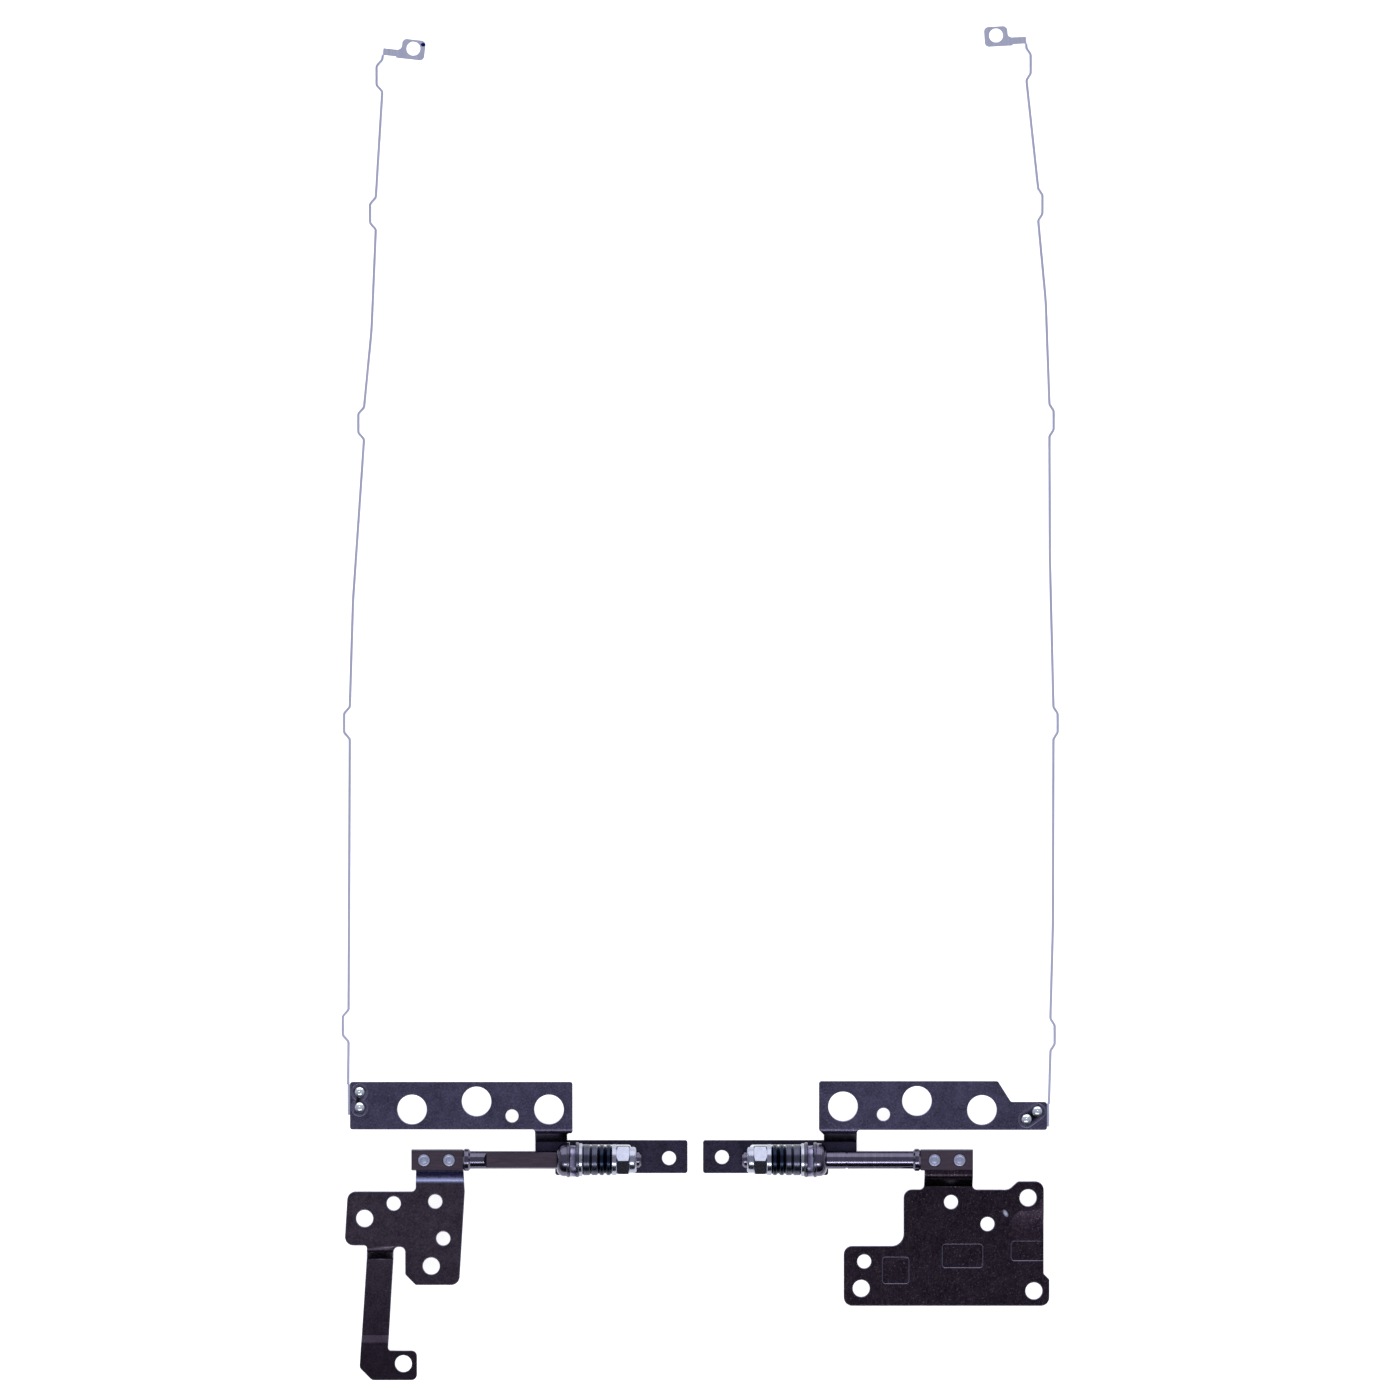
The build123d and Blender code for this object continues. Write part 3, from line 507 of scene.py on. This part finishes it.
# A painted highlight lightens one corner of the pressed pad to a bright nickel tone.
pad_corner = (61.1 * mm, -102.4 * mm, 1.5 * mm)
corner = put(
    tree, "ShaderNodeMapping",
    {
        "Vector": place.outputs["Object"],
        "Location": pad_corner,
        "Rotation": (0, 0, radians(-60)),
        "Scale": (0.9 * mm, 0.5 * mm, 3 * mm),
    },
    vector_type="TEXTURE",
)
reach = put(tree, "ShaderNodeVectorMath", {0: corner.outputs["Vector"]}, operation="LENGTH")
pad_corner_highlight = put(
    tree, "ShaderNodeMapRange",
    {"Value": reach.outputs["Value"], "From Min": 1.0, "From Max": 0.3},
)
pad_tone = put(
    tree, "ShaderNodeMix",
    {0: pad_corner_highlight.outputs["Result"], 6: tone, 7: linear("#c3c7de")},
    data_type="RGBA",
)
tree.links.new(pad_tone.outputs[2], surface.inputs["Base Color"])
for side, plating in zip(sides, [left_plating, right_plating]):
    rolled_sheet(f"{side}_base_bracket", "base", width=0.18 * mm, drop=0.12 * mm, finish=plating)


# Shaft rivets: two steel rivets through each shaft tail and the base bracket's tongue. The press
# sets them flush and leaves a rounded rim and a faint ring in their dull grey ends.
rivet_sides = 72
rivet_smooth_turn = radians(40)


def turned_rivet(name, steps):
    """A round rivet raised step by step from its lower head, each step as (height, radius) in mm."""
    low, first = steps[0]
    bpy.ops.object.select_all(action="DESELECT")
    bpy.ops.mesh.primitive_circle_add(
        vertices=rivet_sides, radius=first * mm, fill_type="NGON", location=(0, 0, low * mm)
    )
    rivet = bpy.context.object
    rivet.name = name
    bpy.ops.object.transform_apply(location=True, rotation=False, scale=False)
    bpy.ops.object.mode_set(mode="EDIT")
    bpy.ops.mesh.select_mode(type="FACE")
    bpy.ops.mesh.select_all(action="SELECT")
    bpy.ops.mesh.flip_normals()
    for height, radius in steps[1:]:
        bpy.ops.mesh.extrude_region_move(TRANSFORM_OT_translate={"value": (0, 0, (height - low) * mm)})
        grow = radius / first
        bpy.ops.transform.resize(value=(grow, grow, 1), center_override=(0, 0, height * mm))
        low, first = height, radius
    bpy.ops.mesh.select_all(action="SELECT")
    bpy.ops.mesh.normals_make_consistent(inside=False)
    bpy.ops.object.mode_set(mode="OBJECT")
    bpy.ops.object.shade_smooth_by_angle(angle=rivet_smooth_turn)
    return rivet


def set_rivets(node, pattern, places, body, finish):
    """Copies of a rivet at their places, joined to stand for the solid's rivets."""
    bpy.ops.object.select_all(action="DESELECT")
    for x, y in places:
        rivet = bpy.data.objects.new(node + "_set", pattern.data.copy())
        bpy.context.scene.collection.objects.link(rivet)
        rivet.data.transform(Matrix.Translation((x * mm, y * mm, 0)))
        rivet.select_set(True)
        bpy.context.view_layer.objects.active = rivet
    bpy.ops.object.join()
    piece = bpy.context.object
    piece.name = node + "_set"
    piece.data.materials.clear()
    piece.data.materials.append(finish)
    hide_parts(node)
    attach(piece, body)


dull, tree, surface, place = new_finish("dull_pressed_steel", 0.45)
press = put(
    tree, "ShaderNodeTexNoise",
    {"Vector": place.outputs["Object"], "Scale": 1 / (0.4 * mm), "Detail": 3.0},
)
tone = put(
    tree, "ShaderNodeMix",
    {0: press.outputs["Fac"], 6: linear("#8a8fa9"), 7: linear("#b3b8d3")},
    data_type="RGBA",
)
tree.links.new(tone.outputs[2], surface.inputs["Base Color"])
shaft_rivet = turned_rivet("shaft_rivet", [
    (2.4, 1.45), (2.48, 1.62), (2.65, 1.7), (2.9, 1.7), (2.9, 1.25), (5.88, 1.25), (6.04, 1.17),
    (6.1, 1.0), (6.1, 0.78), (6.05, 0.7), (6.05, 0.6), (6.1, 0.52), (6.08, 0.2), (6.08, 0.03),
])
axis_y = -91.475
tail_rivets_x = {"left": [-50.25, -55.25], "right": [46.75, 51.75]}
for side in sides:
    tail_places = [(x, axis_y) for x in tail_rivets_x[side]]
    set_rivets(f"{side}_shaft_rivets", shaft_rivet, tail_places, "base", dull)
bpy.data.objects.remove(shaft_rivet)


# Screen rails: one thin strip of plated spring steel on edge, jogged outwards at each screen lug,
# with a folded root flange and a folded screw tab at the top. Rolling leaves fine lines along it.
strip, tree, surface, place = new_finish("zinc_plated_strip_steel", 0.3)
# Rolling lines of 0.05 mm are drawn 0.35 mm apart, so that they show.
rolling = put(
    tree, "ShaderNodeMapping",
    {"Vector": place.outputs["Object"], "Scale": (0.35 * mm, 8 * mm, 0.35 * mm)},
    vector_type="TEXTURE",
)
lines = put(tree, "ShaderNodeTexNoise", {"Vector": rolling.outputs["Vector"], "Scale": 1.0, "Detail": 3.0})
metal_tone = put(
    tree, "ShaderNodeMix",
    {0: lines.outputs["Fac"], 6: linear("#c4c6e1"), 7: linear("#eceefd")},
    data_type="RGBA",
)
# Inspection leaves a dot of blue ink on a corner of the left tab.
ink_spot = (-55.5 * mm, 131.6 * mm, 2.6 * mm)
dot = put(
    tree, "ShaderNodeMapping",
    {
        "Vector": place.outputs["Object"],
        "Location": ink_spot,
        "Scale": (0.56 * mm, 0.42 * mm, 0.3 * mm),
    },
    vector_type="TEXTURE",
)
reach = put(tree, "ShaderNodeVectorMath", {0: dot.outputs["Vector"]}, operation="LENGTH")
inked = put(
    tree, "ShaderNodeMapRange",
    {"Value": reach.outputs["Value"], "From Min": 1.0, "From Max": 0.8},
)
tone = put(
    tree, "ShaderNodeMix",
    {0: inked.outputs["Result"], 6: metal_tone.outputs[2], 7: linear("#1c1a6e")},
    data_type="RGBA",
)
tree.links.new(tone.outputs[2], surface.inputs["Base Color"])
for side in sides:
    dress(f"{side}_screen_rail", strip)


# Rail rivets: two small bright rivets sunk in the display plate's recess, which hold the rail's
# root flange under the plate. Their heads are spun over, which leaves a bright dimpled dome.
spun, tree, surface, place = new_finish("bright_spun_rivet_steel", 0.2)
spin = put(
    tree, "ShaderNodeTexNoise",
    {"Vector": place.outputs["Object"], "Scale": 1 / (0.5 * mm), "Detail": 2.0},
)
tone = put(
    tree, "ShaderNodeMix",
    {0: spin.outputs["Fac"], 6: linear("#d3dfec"), 7: linear("#f4f9fd")},
    data_type="RGBA",
)
tree.links.new(tone.outputs[2], surface.inputs["Base Color"])
rail_rivet = turned_rivet("rail_rivet", [
    (1.7, 0.85), (1.78, 0.99), (1.9, 1.05), (2.1, 1.05), (2.1, 0.7), (3.5, 0.7), (3.5, 1.05),
    (3.54, 1.03), (3.63, 0.9), (3.72, 0.75), (3.79, 0.6), (3.84, 0.45), (3.88, 0.3),
    (3.85, 0.22), (3.84, 0.1), (3.84, 0.03),
])
root_places = {
    "left": [(-68.2, -81.125), (-68.2, -78.025)],
    "right": [(65.2, -83.475), (67.4, -81.875)],
}
for side in sides:
    set_rivets(f"{side}_rail_rivets", rail_rivet, root_places[side], f"{side}_lid", spun)
bpy.data.objects.remove(rail_rivet)


# Table: a plain white sheet of card under the pair, which keeps a soft shadow.
# To the eye, and in the metal, the card also glows a little, as over a light table.
table_size = 12.0
table_level = -0.05 * mm
glow_level = 0.82
bpy.ops.object.select_all(action="DESELECT")
bpy.ops.mesh.primitive_plane_add(size=table_size, location=(0, 0, table_level))
table = bpy.context.object
table.name = "white_table"
card, tree, surface, place = new_finish("matt_white_card", 0.9, 0.0)
surface.inputs["Base Color"].default_value = linear("#f8f8f8")
surface.inputs["Specular IOR Level"].default_value = 0.0
path = put(tree, "ShaderNodeLightPath", {})
plainly_seen = put(
    tree, "ShaderNodeMath",
    {0: path.outputs["Is Camera Ray"], 1: path.outputs["Is Glossy Ray"]},
    operation="MAXIMUM",
)
seen = put(
    tree, "ShaderNodeMath",
    {0: plainly_seen.outputs[0], 1: path.outputs["Is Transmission Ray"]},
    operation="MAXIMUM",
)
own_light = put(tree, "ShaderNodeMath", {0: seen.outputs[0], 1: glow_level}, operation="MULTIPLY")
glow = put(tree, "ShaderNodeEmission", {"Color": (1, 1, 1, 1), "Strength": own_light.outputs[0]})
both = put(tree, "ShaderNodeAddShader", {0: surface.outputs[0], 1: glow.outputs[0]})
tree.links.new(both.outputs[0], tree.nodes["Material Output"].inputs["Surface"])
table.data.materials.append(card)


# Light: a broad white screen beyond the top of the rails, a long softbox above the near edge with a
# small bright lamp before it, and a dim room that is nearly black low on the near side.
def softbox(name, place, aim, width, depth, level):
    """A rectangular lamp at a place, turned towards a point, of a level where 1 is white."""
    bpy.ops.object.light_add(type="AREA", location=place)
    lamp = bpy.context.object
    lamp.name = name
    lamp.data.shape = "RECTANGLE"
    lamp.data.size = width
    lamp.data.size_y = depth
    lamp.data.energy = level * pi * width * depth
    lamp.rotation_euler = (aim - place).to_track_quat("-Z", "Y").to_euler()
    lamp.visible_camera = False


barrels = Vector((0, -0.09, 0))
above_barrels = Vector((0, -0.09, 0.7))
far_place = Vector((0, 1.2, 0.7))
near_place = Vector((0, -0.74, 1.13))
key_place = Vector((0.03, -0.7, 1.13))
softbox("far_screen", far_place, above_barrels, width=2.6, depth=1.4, level=1.6)
softbox("near_softbox", near_place, barrels, width=1.2, depth=0.45, level=1.7)
softbox("key_lamp", key_place, barrels, width=0.2, depth=0.14, level=18.0)
room = bpy.context.scene.world or bpy.data.worlds.new("room")
bpy.context.scene.world = room
room.use_nodes = True
tree = room.node_tree
look = put(tree, "ShaderNodeTexCoord", {})
way = put(tree, "ShaderNodeSeparateXYZ", {"Vector": look.outputs["Generated"]})
dim = put(
    tree, "ShaderNodeMapRange",
    {"Value": way.outputs["Y"], "From Min": -0.85, "From Max": 0.05, "To Min": 0.03, "To Max": 0.55},
)
tree.links.new(dim.outputs["Result"], tree.nodes["Background"].inputs["Strength"])
tree.nodes["Background"].inputs["Color"].default_value = linear("#eef0ff")


# Camera: straight above the middle of the pair, far off with a long lens, and with the rails' tabs
# at the top. The picture is one field wide at the height of the plates.
plate_level = 3.8 * mm
distance = 1.5
field = 0.28
middle_x, middle_y = -0.1 * mm, 0.425 * mm
bpy.ops.object.camera_add(location=(middle_x, middle_y, plate_level + distance), rotation=(0, 0, 0))
camera = bpy.context.object
camera.data.sensor_width = 36
camera.data.lens = camera.data.sensor_width * distance / field
camera.data.clip_end = 20
bpy.context.scene.camera = camera
bpy.context.scene.view_settings.view_transform = "Standard"
